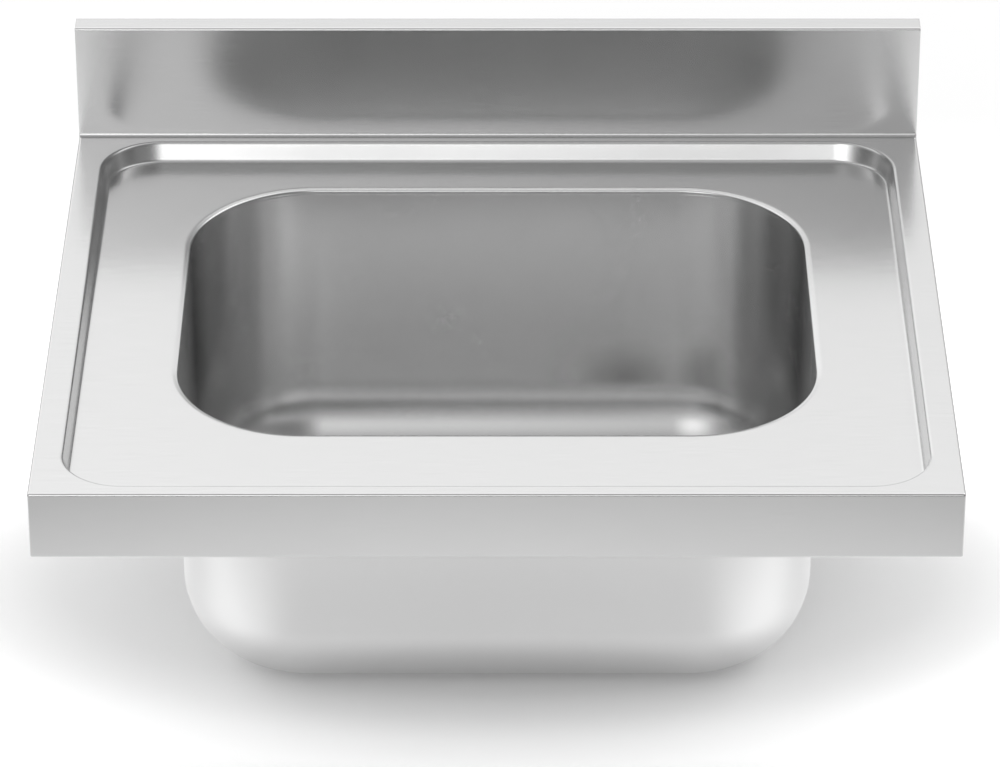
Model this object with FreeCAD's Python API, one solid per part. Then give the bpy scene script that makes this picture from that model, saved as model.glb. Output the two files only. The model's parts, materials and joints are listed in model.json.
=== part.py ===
import FreeCAD, Part
import math
import os
from FreeCAD import Vector

# A catering sink top: one folded sheet with a sunken drainer and an upstand, a deep-drawn
# bowl welded into it, stiffeners and fixing brackets underneath, and a basket waste.
# Millimetres and degrees. Z is up, X to the right, Y to the back. The origin is the middle
# of the four fixing holes, on the underside of the brackets.

# Bowl
bowl_width = 498.0
bowl_length = 398.0
bowl_depth = 250.0
bowl_corner = 100.0
bowl_draft = 0.2
bowl_floor_radius = 70.0
bowl_sheet = 1.0

# Folded top: margins run from the bowl's wall to the outer faces and to the upstand
sheet = 1.2
side_margin = 101.0
front_margin = 116.4
rear_margin = 65.6
apron_height = 56.0
return_width = 15.0
edge_bend = 0.8
upstand_height = 100.0
upstand_thickness = 20.0
upstand_foot_bend = 2.5
back_lip = 20.0

# Sunken drainer round the bowl, and the collar: a sloping lip that turns down into the bowl
side_rim = 20.2
front_rim = 11.0
rear_rim = 9.3
recess_depth = 16.0
recess_wall_angle = 75.0
recess_rim_bend = 1.8
recess_foot_bend = 3.0
recess_corner = 50.0
lip_width = 4.6
lip_drop = 1.2
lip_bend = 6.0
collar_bend = 0.5
collar_straight = 2.0

# Rear rail, stiffeners and fixing brackets
rail_height = 50.0
rail_flange = 12.0
stiffener_height = 20.0
stiffener_flange = 6.0
stiffener_gap = 4.0
bracket_size = 62.0
bracket_thickness = 3.0
bracket_clearance = 0.6
bracket_chamfer = 22.0
bolt_inset = 40.0
bolt_hole = 9.0

# Sound-deadening pads on the bowl
pad_thickness = 2.0
pad_inset = 12.0
pad_gap = 5.0
wall_pad_drop = 40.0
wall_pad_height = 110.0
wall_pad_length = 160.0

# Bonding stud under the rear rail
stud_diameter = 6.0
stud_length = 20.0
stud_collar_radius = 4.5
stud_collar_height = 1.0
stud_washer_radius = 6.0
stud_washer_thickness = 1.6
stud_nut_flats = 10.0
stud_nut_height = 5.0
thread_clearance = 0.1

# Waste: body, seals and nut
flange_radius = 57.0
strainer_sheet = 1.2
strainer_radius = 43.0
strainer_depth = 42.0
strainer_bend = 2.0
drain_clearance = 2.0
sump_depth = 3.5
sump_bend = 2.0
sump_slope = 45.0
sump_clearance = 1.0
sump_margin = 2.0
flange_seal_thickness = 1.5
seal_inset = 1.0
seal_clearance = 0.4
under_seal_thickness = 3.0
slip_ring_thickness = 1.5
nut_height = 12.0
nut_wall = 9.0
nut_lugs = 8
nut_lug_width = 9.0
nut_lug_reach = 5.0
outlet_diameter = 47.8
outlet_wall = 3.0
outlet_length = 20.0

# Waste: lift-out basket with its pull-up stopper
basket_sheet = 1.0
basket_rim_clearance = 1.3
basket_rim_width = 6.0
basket_height = 32.0
basket_bend = 1.5
basket_hole = 4.0
basket_hole_pitch = 7.5
basket_hole_start = 5.6
basket_slot_width = 3.0
basket_slot_height = 9.0
basket_slots = 16
boss_radius = 6.0
boss_height = 6.0
stem_radius = 3.0
stem_clearance = 0.05
stem_foot_radius = 8.0
stem_foot_thickness = 1.5
stopper_overlap = 3.2
stopper_thickness = 4.0
stopper_round = 1.3
stopper_lift = 8.0
stopper_headroom = 1.2
clip_radius = 6.0
clip_thickness = 0.8
fit_clearance = 0.1
knob_radius = 11.0
knob_height = 18.0
knob_neck_radius = 5.5
knob_neck_height = 5.0
knob_bore_depth = 10.0
knob_gap = 2.0

# Overrun of cutting tools, and the tolerance for picking edges
overrun = 1.0
tolerance = 1e-6

# Overall sizes and heights
draft = math.radians(bowl_draft)
wall_turn = math.pi / 2.0 - draft
width = bowl_width + 2.0 * side_margin
depth = front_margin + bowl_length + rear_margin + upstand_thickness
front_y = -depth / 2.0
back_y = depth / 2.0
upstand_y = back_y - upstand_thickness
hollow_y = upstand_y + sheet
bowl_y = front_y + front_margin + bowl_length / 2.0
bottom_z = -sheet
deck_z = apron_height - sheet
top_z = deck_z + upstand_height
recess_z = deck_z - recess_depth
under_z = recess_z - sheet
bowl_z = recess_z - bowl_depth
edge_radius = edge_bend + sheet

# Recess outline where its rim starts to bend, and the plan width of its wall
recess_turn = math.radians(recess_wall_angle)
rim_tangent = (recess_rim_bend + sheet / 2.0) * math.tan(recess_turn / 2.0)
foot_tangent = (recess_foot_bend + sheet / 2.0) * math.tan(recess_turn / 2.0)
recess_run = rim_tangent + recess_depth / math.tan(recess_turn) + foot_tangent
recess_half_x = width / 2.0 - side_rim
recess_front_y = front_y + front_rim
recess_rear_y = upstand_y - rear_rim
recess_y = (recess_front_y + recess_rear_y) / 2.0
recess_run_x = recess_half_x - recess_corner
recess_run_y = (recess_rear_y - recess_front_y) / 2.0 - recess_corner

# Bowl: straight runs between the corner axes, and the radii measured from those axes
bowl_run_x = bowl_width / 2.0 - bowl_corner
bowl_run_y = bowl_length / 2.0 - bowl_corner
floor_wall_radius = bowl_corner - bowl_depth * math.tan(draft)
floor_radius = min(bowl_floor_radius, floor_wall_radius - pad_inset - pad_gap)
floor_flat = floor_wall_radius - floor_radius * math.tan(wall_turn / 2.0)

# Collar, along its middle line: the lip's turn down from the drainer and the turn into the bowl's wall
wall_offset = sheet / 2.0 * math.tan(wall_turn / 2.0)
lip_turn = math.atan2(lip_drop * math.cos(draft), lip_width - wall_offset + lip_drop * math.sin(draft))
lip_tangent = (lip_bend + sheet / 2.0) * math.tan(lip_turn / 2.0)
collar_tangent = (collar_bend + sheet / 2.0) * math.tan((wall_turn - lip_turn) / 2.0)
collar_run = lip_width + lip_tangent
collar_radius = bowl_corner + collar_run

# Flat shelves between the recess foot and the collar
side_shelf_x = (recess_half_x - recess_run + bowl_width / 2.0 + collar_run) / 2.0
side_shelf = recess_half_x - recess_run - bowl_width / 2.0 - collar_run
front_shelf = front_margin - front_rim - recess_run - collar_run
front_shelf_y = recess_front_y + recess_run + front_shelf / 2.0
rear_shelf = rear_margin - rear_rim - recess_run - collar_run
rear_shelf_y = recess_rear_y - recess_run - rear_shelf / 2.0

# Sump: radii from its flat foot out to the bowl's floor, and its place in the rear right corner
drain_radius = strainer_radius + drain_clearance
sump_radius = flange_radius + sump_clearance
sump_turn = math.radians(sump_slope)
sump_tangent = (sump_bend + bowl_sheet / 2.0) * math.tan(sump_turn / 2.0)
sump_foot = sump_radius + sump_tangent
sump_shoulder = sump_foot + sump_depth / math.tan(sump_turn)
sump_outer = sump_shoulder + sump_tangent
drain_x = bowl_run_x + floor_flat - sump_margin - sump_outer
drain_y = bowl_y + bowl_run_y + floor_flat - sump_margin - sump_outer

# Waste heights, from the bowl's floor downwards
sump_z = bowl_z - sump_depth
sump_under_z = sump_z - bowl_sheet
flange_z = sump_z + flange_seal_thickness
flange_top_z = flange_z + strainer_sheet
cup_floor_z = flange_top_z - strainer_depth
cup_under_z = cup_floor_z - strainer_sheet
cup_radius = strainer_radius - strainer_sheet
outlet_radius = outlet_diameter / 2.0
outlet_bore = outlet_radius - outlet_wall
seal_outer = flange_radius - seal_inset
seal_bore = strainer_radius + seal_clearance
slip_z = sump_under_z - under_seal_thickness - slip_ring_thickness
nut_radius = strainer_radius + nut_wall

# Basket and stopper heights, from the floor of the waste's cup upwards
basket_rim_radius = cup_radius - basket_rim_clearance
basket_radius = basket_rim_radius - basket_rim_width
stopper_top_z = cup_floor_z + stopper_thickness
basket_floor_z = stopper_top_z + clip_thickness + stopper_lift + stopper_headroom
boss_top_z = basket_floor_z + basket_sheet + boss_height
stopper_radius = outlet_bore + stopper_overlap
knob_z = boss_top_z + knob_gap
stem_top_z = knob_z + knob_bore_depth


def waste_vector(across, height):
    """Point on the waste's half section: distance from its axis, and height."""
    return Vector(drain_x + across, drain_y, height)


def prism(points, direction):
    """Solid made by carrying a flat polygon along a direction."""
    outline = Part.makePolygon(points + [points[0]])
    return Part.Face(outline).extrude(direction)


def block(low, high):
    """Box between two opposite corners."""
    size = high - low
    return Part.makeBox(size.x, size.y, size.z, low)


def waste_cylinder(radius, low_z, high_z):
    """Upright cylinder on the waste's axis."""
    return Part.makeCylinder(radius, high_z - low_z, waste_vector(0.0, low_z))


def waste_tube(outer, inner, low_z, high_z):
    """Upright tube on the waste's axis."""
    return waste_cylinder(outer, low_z, high_z).cut(waste_cylinder(inner, low_z, high_z))


def waste_block(near, far, breadth, low_z, high_z):
    """Upright block that reaches out from the waste's axis along X."""
    half = Vector(0, breadth / 2.0, 0)
    return block(waste_vector(near, low_z) - half, waste_vector(far, high_z) + half)


def turned(face):
    """Solid of revolution about the waste's axis."""
    return face.revolve(waste_vector(0.0, 0.0), Vector(0, 0, 1), 360.0)


def strip_side(points, thickness, bends, side):
    """Edges' end points along one side of a bent strip, as (start, middle, end) with no middle on a line.

    Each corner of the strip's middle line becomes an arc of inside radius from bends. The side is
    +1 on the left of the line and -1 on its right, half a thickness away.
    """
    steps = [points[i + 1] - points[i] for i in range(len(points) - 1)]
    ways = [step / step.Length for step in steps]
    lefts = [Vector(-way.z, 0, way.x) for way in ways]
    offset = side * thickness / 2.0
    here = points[0] + lefts[0] * offset
    runs = []
    for i, bend in enumerate(bends):
        before = ways[i]
        after = ways[i + 1]
        corner = points[i + 1]
        turn = math.atan2(before.x * after.z - before.z * after.x, before.dot(after))
        hand = math.copysign(1.0, turn)
        middle_radius = bend + thickness / 2.0
        tangent = middle_radius * math.tan(abs(turn) / 2.0)
        centre = corner - before * tangent + lefts[i] * (hand * middle_radius)
        radius = middle_radius - hand * offset
        start = centre - lefts[i] * (hand * radius)
        end = centre - lefts[i + 1] * (hand * radius)
        out = corner - centre
        runs.append((here, None, start))
        runs.append((start, centre + out * (radius / out.Length), end))
        here = end
    runs.append((here, None, points[-1] + lefts[-1] * offset))
    return runs


def strip_face(points, thickness, bends):
    """Face of a bent strip of sheet, from the corners of its middle line in the XZ plane."""
    left = strip_side(points, thickness, bends, 1.0)
    right = strip_side(points, thickness, bends, -1.0)
    back = [(end, middle, start) for start, middle, end in reversed(right)]
    ends = [(left[-1][2], None, back[0][0]), (back[-1][2], None, left[0][0])]
    edges = []
    for start, middle, end in left + ends[:1] + back + ends[1:]:
        if middle is not None:
            edges.append(Part.Arc(start, middle, end).toShape())
        elif (end - start).Length > tolerance:
            edges.append(Part.LineSegment(start, end).toShape())
    return Part.Face(Part.Wire(edges))


def turned_strip(points, thickness, bends):
    """Bent strip turned about the waste's axis; points are (distance from axis, height)."""
    face = strip_face(points, thickness, bends)
    face.translate(waste_vector(0.0, 0.0))
    return turned(face)


def carried_strip(points, thickness, bends, start, direction):
    """Bent strip drawn in the YZ plane and carried along X from a start."""
    face = strip_face([Vector(point.y, 0, point.z) for point in points], thickness, bends)
    face.rotate(Vector(0, 0, 0), Vector(0, 0, 1), 90.0)
    face.translate(Vector(start, 0, 0))
    return face.extrude(Vector(direction, 0, 0))


def swept_ring(face, run_x, run_y, centre_y):
    """Face drawn as (distance from a corner axis, height), carried round a rounded rectangle."""
    corners = [(run_x, run_y), (-run_x, run_y), (-run_x, -run_y), (run_x, -run_y)]
    sides = [Vector(-run_x, 0, 0), Vector(0, -run_y, 0), Vector(run_x, 0, 0), Vector(0, run_y, 0)]
    pieces = []
    for quarter, (corner_x, corner_y) in enumerate(corners):
        axis = Vector(corner_x, centre_y + corner_y, 0)
        for turn in (0, 1):
            section = face.copy()
            section.rotate(Vector(0, 0, 0), Vector(0, 0, 1), 90.0 * (quarter + turn))
            section.translate(axis)
            if turn == 0:
                pieces.append(section.revolve(axis, Vector(0, 0, 1), 90.0))
            else:
                pieces.append(section.extrude(sides[quarter] * 2.0))
    return pieces[0].multiFuse(pieces[1:]).removeSplitter()


def rounded_plate(run_x, run_y, radius, centre_y, low_z, high_z):
    """Upright prism of a rounded rectangle, from its straight half runs and its corner radius."""
    size_x = run_x + radius
    size_y = run_y + radius
    plate = block(Vector(-size_x, centre_y - size_y, low_z), Vector(size_x, centre_y + size_y, high_z))
    upright = [edge for edge in plate.Edges if edge.BoundBox.ZLength > (high_z - low_z) / 2.0]
    return plate.makeFillet(radius, upright)


def skirted_block(inset, radius, rear_y):
    """Block of the folded top drawn in all round, with every edge off its rear face rounded."""
    low = Vector(-width / 2.0 + inset, front_y + inset, bottom_z + inset)
    high = Vector(width / 2.0 - inset, rear_y, deck_z - inset)
    body = block(low, high)
    rounded = [edge for edge in body.Edges if edge.BoundBox.YMin < rear_y - tolerance]
    return body.makeFillet(radius, rounded)


def ledge_block(front, back, low_z, high_z, radius, reach):
    """Block of the upstand with its two upper long edges rounded."""
    body = block(Vector(-reach, front, low_z), Vector(reach, back, high_z))
    rounded = [edge for edge in body.Edges
               if edge.BoundBox.XLength > reach and edge.BoundBox.ZMin > high_z - tolerance]
    return body.makeFillet(radius, rounded)


def foot_bar(radius, corner_y, corner_z, below, reach):
    """Bar with a hollow quarter-round face that joins a deck to an upright face."""
    middle = Vector(-reach, corner_y - radius, corner_z + radius)
    slant = radius / math.sqrt(2.0)
    low = Vector(-reach, corner_y - radius, corner_z)
    high = Vector(-reach, corner_y, corner_z + radius)
    arc = Part.Arc(high, middle + Vector(0, slant, -slant), low).toShape()
    under = Vector(-reach, corner_y - radius, corner_z - below)
    behind = Vector(-reach, corner_y, corner_z - below)
    lines = Part.makePolygon([low, under, behind, high] if below > 0.0 else [low, behind, high])
    return Part.Face(Part.Wire([arc] + lines.Edges)).extrude(Vector(2.0 * reach, 0, 0))


def folded_shell():
    """Deck, aprons with their returns, and upstand, before the recess is pressed."""
    reach = width / 2.0
    past = reach + overrun
    outside = skirted_block(0.0, edge_radius, back_y)
    upstand = ledge_block(upstand_y, back_y, deck_z - edge_radius, top_z, edge_radius, reach)
    foot = foot_bar(upstand_foot_bend, upstand_y, deck_z, edge_radius, reach)
    inside = skirted_block(sheet, edge_bend, back_y + overrun)
    hollow = ledge_block(hollow_y, back_y - sheet, bottom_z - overrun, top_z - sheet, edge_bend, past)
    rear = block(Vector(-past, hollow_y, bottom_z - overrun),
                 Vector(past, back_y + overrun, top_z - back_lip))
    bend = foot_bar(upstand_foot_bend + sheet, hollow_y, deck_z - sheet, 0.0, reach - edge_radius)
    mouth = block(Vector(return_width - reach, front_y + return_width, bottom_z - overrun),
                  Vector(reach - return_width, back_y + overrun, edge_bend + overrun))
    shell = outside.multiFuse([upstand, foot])
    return shell.cut([inside, hollow, rear, bend, mouth])


def recess_wall():
    """Wall of the sunken drainer: a bend down, a steep flat and a bend back to level."""
    slope = recess_depth / math.tan(recess_turn)
    points = [Vector(recess_corner, 0, deck_z - sheet / 2.0)]
    for step, drop in ((rim_tangent, 0.0), (slope, recess_depth), (foot_tangent, 0.0)):
        points.append(points[-1] - Vector(step, 0, drop))
    face = strip_face(points, sheet, [recess_rim_bend, recess_foot_bend])
    return swept_ring(face, recess_run_x, recess_run_y, recess_y)


def collar_edge():
    """Corner of the collar's middle line between lip and wall, as (distance from a corner axis, height)."""
    mouth = Vector(bowl_corner + wall_offset, 0, recess_z - sheet / 2.0)
    return mouth + wall_way() * lip_drop


def collar_end():
    """Lower end of the collar's middle line, where the bowl is welded on."""
    return collar_edge() + wall_way() * (collar_tangent + collar_straight)


def wall_way():
    """Downward direction of the bowl's wall in its half section."""
    return Vector(-math.sin(draft), 0, -math.cos(draft))


def collar():
    """Rim of the bowl's mouth: a sloping lip off the drainer's floor, turned down to meet the bowl."""
    start = Vector(collar_radius, 0, recess_z - sheet / 2.0)
    lip = start - Vector(lip_tangent, 0, 0)
    face = strip_face([start, lip, collar_edge(), collar_end()], sheet, [lip_bend, collar_bend])
    return swept_ring(face, bowl_run_x, bowl_run_y, bowl_y)


def worktop_sheet():
    """The folded and pressed top in one sheet."""
    opening = rounded_plate(recess_run_x, recess_run_y, recess_corner, recess_y,
                            deck_z - sheet - overrun, deck_z + overrun)
    floor = rounded_plate(recess_run_x, recess_run_y, recess_corner - recess_run, recess_y,
                          under_z, recess_z)
    mouth = rounded_plate(bowl_run_x, bowl_run_y, collar_radius, bowl_y,
                          under_z - overrun, recess_z + overrun)
    shell = folded_shell().cut(opening)
    return shell.multiFuse([recess_wall(), floor.cut(mouth), collar()]).removeSplitter()


def bowl_line():
    """Middle line of the bowl's sheet: seam, corner of wall and floor, end of the floor's bend."""
    inward = Vector(-math.cos(draft), 0, math.sin(draft))
    seam = collar_end() + inward * ((sheet - bowl_sheet) / 2.0)
    drop = seam.z - (bowl_z - bowl_sheet / 2.0)
    corner = seam + wall_way() * (drop / math.cos(draft))
    tangent = (floor_radius + bowl_sheet / 2.0) * math.tan(wall_turn / 2.0)
    return [seam, corner, corner - Vector(tangent, 0, 0)]


def sink_bowl():
    """Deep-drawn bowl with a shallow round sump for the waste's flange."""
    section = strip_face(bowl_line(), bowl_sheet, [floor_radius])
    wall = swept_ring(section, bowl_run_x, bowl_run_y, bowl_y)
    floor = rounded_plate(bowl_run_x, bowl_run_y, floor_flat, bowl_y, bowl_z - bowl_sheet, bowl_z)
    level = bowl_z - bowl_sheet / 2.0
    sunk = level - sump_depth
    points = [Vector(sump_outer, 0, level), Vector(sump_shoulder, 0, level),
              Vector(sump_foot, 0, sunk), Vector(drain_radius, 0, sunk)]
    sump = turned_strip(points, bowl_sheet, [sump_bend, sump_bend])
    hole = waste_cylinder(sump_outer, bowl_z - bowl_sheet - overrun, bowl_z + overrun)
    return wall.multiFuse([floor.cut(hole), sump]).removeSplitter()


def upstand_end_cap(hand):
    """Plate that closes one open end of the upstand, down to the apron's lower edge."""
    outer = hand * width / 2.0
    inner = outer - hand * sheet
    plate = block(Vector(min(inner, outer), hollow_y, bottom_z),
                  Vector(max(inner, outer), back_y - sheet, top_z - sheet))
    rounded = [edge for edge in plate.Edges
               if edge.BoundBox.ZMin > top_z - sheet - tolerance and edge.BoundBox.YLength < sheet]
    return plate.makeFillet(edge_bend + bracket_clearance, rounded)


def rear_rail():
    """Channel across the back, between the two end caps."""
    reach = width / 2.0 - sheet
    level = bottom_z + sheet / 2.0
    web = back_y - sheet / 2.0
    crown = bottom_z + rail_height - sheet / 2.0
    points = [Vector(0, hollow_y, level), Vector(0, web, level), Vector(0, web, crown),
              Vector(0, back_y - rail_flange, crown)]
    return carried_strip(points, sheet, [edge_bend, edge_bend], -reach, 2.0 * reach)


def hat_points(middle, span):
    """Middle line of a top-hat stiffener hung from the drainer's underside, across a shelf."""
    half = span / 2.0 - stiffener_gap
    web = half - stiffener_flange
    level = under_z - sheet / 2.0
    low = under_z - stiffener_height + sheet / 2.0
    corners = [(-half, level), (-web, level), (-web, low), (web, low), (web, level), (half, level)]
    return [Vector(0, middle + across, height) for across, height in corners]


def cross_stiffener(middle, span):
    """Stiffener from side to side, in front of the bowl or behind it."""
    reach = recess_half_x - recess_run - stiffener_gap
    return carried_strip(hat_points(middle, span), sheet, [edge_bend] * 4, -reach, 2.0 * reach)


def side_stiffener(hand):
    """Stiffener from front to back beside the bowl, between the two cross stiffeners."""
    front = front_shelf_y + front_shelf / 2.0
    back = rear_shelf_y - rear_shelf / 2.0
    hat = carried_strip(hat_points(0.0, side_shelf), sheet, [edge_bend] * 4, front, back - front)
    hat.rotate(Vector(0, 0, 0), Vector(0, 0, 1), 90.0)
    hat.translate(Vector(hand * side_shelf_x, 0, 0))
    return hat


def corner_bracket(hand, end):
    """Plate welded on the returns in one corner, with a hole for the bolt to the stand."""
    gap = sheet + edge_bend + bracket_clearance
    far_x = width / 2.0 - gap
    far_y = depth / 2.0 - gap
    near_x = far_x - bracket_size
    near_y = far_y - bracket_size
    outline = [(far_x, near_y), (far_x, far_y), (near_x, far_y),
               (near_x, near_y + bracket_chamfer), (near_x + bracket_chamfer, near_y)]
    points = [Vector(hand * across, end * along, 0) for across, along in outline]
    plate = prism(points, Vector(0, 0, bracket_thickness))
    place = Vector(hand * (width / 2.0 - bolt_inset), end * (depth / 2.0 - bolt_inset), -overrun)
    return plate.cut(Part.makeCylinder(bolt_hole / 2.0, bracket_thickness + 2.0 * overrun, place))


def bowl_base_pad():
    """Pad under the bowl's floor, with its rear right corner cut away round the waste."""
    under = bowl_z - bowl_sheet
    low_z = under - pad_thickness
    pad = rounded_plate(bowl_run_x, bowl_run_y, floor_flat - pad_inset, bowl_y, low_z, under)
    window = sump_outer + pad_gap
    far = Vector(width / 2.0, back_y, under)
    notch = [waste_cylinder(window, low_z, under),
             block(Vector(drain_x - window, drain_y, low_z), far),
             block(Vector(drain_x, drain_y - window, low_z), far)]
    return pad.cut(notch)


def bowl_wall_pad(hand):
    """Pad on one side wall of the bowl, leaning with the wall's draft."""
    high_z = under_z - wall_pad_drop
    low_z = high_z - wall_pad_height
    outline = []
    for height, proud in ((high_z, 0.0), (low_z, 0.0), (low_z, pad_thickness), (high_z, pad_thickness)):
        wall = bowl_width / 2.0 - (recess_z - height) * math.tan(draft)
        out = (bowl_sheet + proud) / math.cos(draft)
        outline.append(Vector(hand * (wall + out), bowl_y - wall_pad_length / 2.0, height))
    return prism(outline, Vector(0, wall_pad_length, 0))


def stud_place(height):
    """Point on the bonding stud's axis, in the middle of the rail's lower flange."""
    return Vector(0, (hollow_y + back_y) / 2.0, height)


def stud_cylinder(radius, high_z, height):
    """Upright cylinder on the stud's axis, from its upper face down."""
    return Part.makeCylinder(radius, height, stud_place(high_z - height))


def bonding_stud():
    """Weld stud under the rear rail, for a bonding lead."""
    collar_plate = stud_cylinder(stud_collar_radius, bottom_z, stud_collar_height)
    return collar_plate.fuse(stud_cylinder(stud_diameter / 2.0, bottom_z, stud_length)).removeSplitter()


def bonding_washer():
    """Plain washer on the bonding stud."""
    high_z = bottom_z - stud_collar_height
    bore = stud_diameter / 2.0 + thread_clearance
    disc = stud_cylinder(stud_washer_radius, high_z, stud_washer_thickness)
    return disc.cut(stud_cylinder(bore, high_z, stud_washer_thickness))


def bonding_nut():
    """Hexagon nut on the bonding stud."""
    high_z = bottom_z - stud_collar_height - stud_washer_thickness
    corner = stud_nut_flats / math.sqrt(3.0)
    turns = [math.radians(60.0 * i) for i in range(6)]
    points = [stud_place(high_z) + Vector(corner * math.cos(turn), corner * math.sin(turn), 0)
              for turn in turns]
    nut = prism(points, Vector(0, 0, -stud_nut_height))
    return nut.cut(stud_cylinder(stud_diameter / 2.0 + thread_clearance, high_z, stud_nut_height))


def strainer_body():
    """Pressed cup of the waste, with its flange above and its outlet spigot below."""
    half = strainer_sheet / 2.0
    wall = strainer_radius - half
    points = [Vector(flange_radius, 0, flange_z + half), Vector(wall, 0, flange_z + half),
              Vector(wall, 0, cup_floor_z - half), Vector(outlet_bore, 0, cup_floor_z - half)]
    cup = turned_strip(points, strainer_sheet, [strainer_bend, strainer_bend])
    spigot = waste_tube(outlet_radius, outlet_bore, cup_under_z - outlet_length, cup_under_z)
    return cup.fuse(spigot).removeSplitter()


def lock_nut():
    """Ring nut under the bowl, with lugs for a key."""
    low_z = slip_z - nut_height
    ring = waste_cylinder(nut_radius, low_z, slip_z)
    lugs = []
    for i in range(nut_lugs):
        lug = waste_block(0.0, nut_radius + nut_lug_reach, nut_lug_width, low_z, slip_z)
        lug.rotate(waste_vector(0.0, 0.0), Vector(0, 0, 1), 360.0 / nut_lugs * i)
        lugs.append(lug)
    bore = waste_cylinder(seal_bore, low_z - overrun, slip_z + overrun)
    return ring.multiFuse(lugs).removeSplitter().cut(bore)


def floor_holes():
    """Rings of holes through the basket's floor, spaced by one pitch."""
    holes = []
    ring = boss_radius + basket_hole_start
    while ring < basket_radius - basket_sheet - basket_hole:
        count = int(2.0 * math.pi * ring / basket_hole_pitch)
        for i in range(count):
            turn = 2.0 * math.pi * i / count
            place = waste_vector(ring * math.cos(turn), basket_floor_z - overrun)
            place.y += ring * math.sin(turn)
            holes.append(Part.makeCylinder(basket_hole / 2.0, basket_sheet + 2.0 * overrun, place))
        ring += basket_hole_pitch
    return holes


def wall_slots():
    """Upright slots through the basket's wall, just above its floor."""
    low_z = basket_floor_z + basket_sheet + overrun
    inner = basket_radius - basket_sheet - overrun
    outer = basket_radius + overrun
    slots = []
    for i in range(basket_slots):
        slot = waste_block(inner, outer, basket_slot_width, low_z, low_z + basket_slot_height)
        slot.rotate(waste_vector(0.0, 0.0), Vector(0, 0, 1), 360.0 / basket_slots * i)
        slots.append(slot)
    return slots


def basket():
    """Lift-out strainer basket, standing on the cup's floor on its own skirt."""
    half = basket_sheet / 2.0
    wall = basket_radius - half
    rim_z = cup_floor_z + basket_height - half
    points = [Vector(basket_rim_radius, 0, rim_z), Vector(wall, 0, rim_z), Vector(wall, 0, cup_floor_z)]
    shell = turned_strip(points, basket_sheet, [basket_bend])
    floor = waste_cylinder(wall, basket_floor_z, basket_floor_z + basket_sheet)
    boss = waste_cylinder(boss_radius, basket_floor_z, boss_top_z)
    bore = waste_cylinder(stem_radius + stem_clearance, basket_floor_z - overrun, boss_top_z + overrun)
    whole = shell.multiFuse([floor, boss]).removeSplitter()
    return whole.cut([bore] + floor_holes() + wall_slots())


def basket_stem():
    """Post of the stopper, with a foot that holds the seal from below."""
    foot = waste_cylinder(stem_foot_radius, cup_floor_z, cup_floor_z + stem_foot_thickness)
    return foot.fuse(waste_cylinder(stem_radius, cup_floor_z, stem_top_z)).removeSplitter()


def stopper_seal():
    """Rubber disc that closes the outlet, with a pocket for the stem's foot."""
    disc = waste_cylinder(stopper_radius, cup_floor_z, stopper_top_z)
    upper = [edge for edge in disc.Edges
             if edge.BoundBox.ZMin > stopper_top_z - tolerance and edge.BoundBox.XLength > tolerance]
    disc = disc.makeFillet(stopper_round, upper)
    pocket = waste_cylinder(stem_foot_radius + fit_clearance, cup_floor_z - overrun,
                            cup_floor_z + stem_foot_thickness)
    bore = waste_cylinder(stem_radius + fit_clearance, cup_floor_z, stopper_top_z + overrun)
    return disc.cut([pocket, bore])


def stem_clip():
    """Open spring clip that holds the seal on the stem from above."""
    high_z = stopper_top_z + clip_thickness
    ring = waste_tube(clip_radius, stem_radius + fit_clearance, stopper_top_z, high_z)
    return ring.cut(waste_block(0.0, clip_radius + overrun, stem_radius, stopper_top_z, high_z))


def basket_knob():
    """Mushroom knob on top of the stem."""
    shoulder = knob_z + knob_neck_height
    crown = knob_z + knob_height
    cheek = shoulder + (crown - shoulder) / 2.0
    round_off = crown - cheek
    rim = waste_vector(knob_radius, cheek)
    top = waste_vector(knob_radius - round_off, crown)
    swell = round_off / math.sqrt(2.0)
    arc = Part.Arc(rim, waste_vector(knob_radius - round_off + swell, cheek + swell), top).toShape()
    lines = Part.makePolygon([top, waste_vector(0.0, crown), waste_vector(0.0, knob_z),
                              waste_vector(knob_neck_radius, knob_z),
                              waste_vector(knob_neck_radius, shoulder), rim])
    knob = turned(Part.Face(Part.Wire([arc] + lines.Edges)))
    return knob.cut(waste_cylinder(stem_radius + fit_clearance, knob_z - overrun, stem_top_z))


def all_nodes():
    """Every piece of the sink top under its own name."""
    nodes = {
        "worktop_sheet": worktop_sheet(),
        "sink_bowl": sink_bowl(),
        "rear_rail": rear_rail(),
        "front_stiffener": cross_stiffener(front_shelf_y, front_shelf),
        "rear_stiffener": cross_stiffener(rear_shelf_y, rear_shelf),
        "bowl_base_pad": bowl_base_pad(),
        "bonding_stud": bonding_stud(),
        "bonding_washer": bonding_washer(),
        "bonding_nut": bonding_nut(),
        "strainer_body": strainer_body(),
        "flange_seal": waste_tube(seal_outer, drain_radius, sump_z, flange_z),
        "under_seal": waste_tube(seal_outer, seal_bore, sump_under_z - under_seal_thickness, sump_under_z),
        "slip_ring": waste_tube(seal_outer, seal_bore, slip_z, slip_z + slip_ring_thickness),
        "lock_nut": lock_nut(),
        "basket": basket(),
        "basket_stem": basket_stem(),
        "stopper_seal": stopper_seal(),
        "stem_clip": stem_clip(),
        "basket_knob": basket_knob(),
    }
    for side, hand in (("left", -1.0), ("right", 1.0)):
        nodes["upstand_end_cap_" + side] = upstand_end_cap(hand)
        nodes[side + "_stiffener"] = side_stiffener(hand)
        nodes[side + "_wall_pad"] = bowl_wall_pad(hand)
        for place, end in (("front", -1.0), ("rear", 1.0)):
            nodes[place + "_" + side + "_bracket"] = corner_bracket(hand, end)
    return nodes


os.makedirs("parts", exist_ok=True)
for name, shape in all_nodes().items():
    shape.exportStep("parts/" + name + ".step")
    print(name, "solids", len(shape.Solids), "valid", shape.isValid(), "volume", round(shape.Volume, 1))
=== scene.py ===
import json
import math

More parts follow.
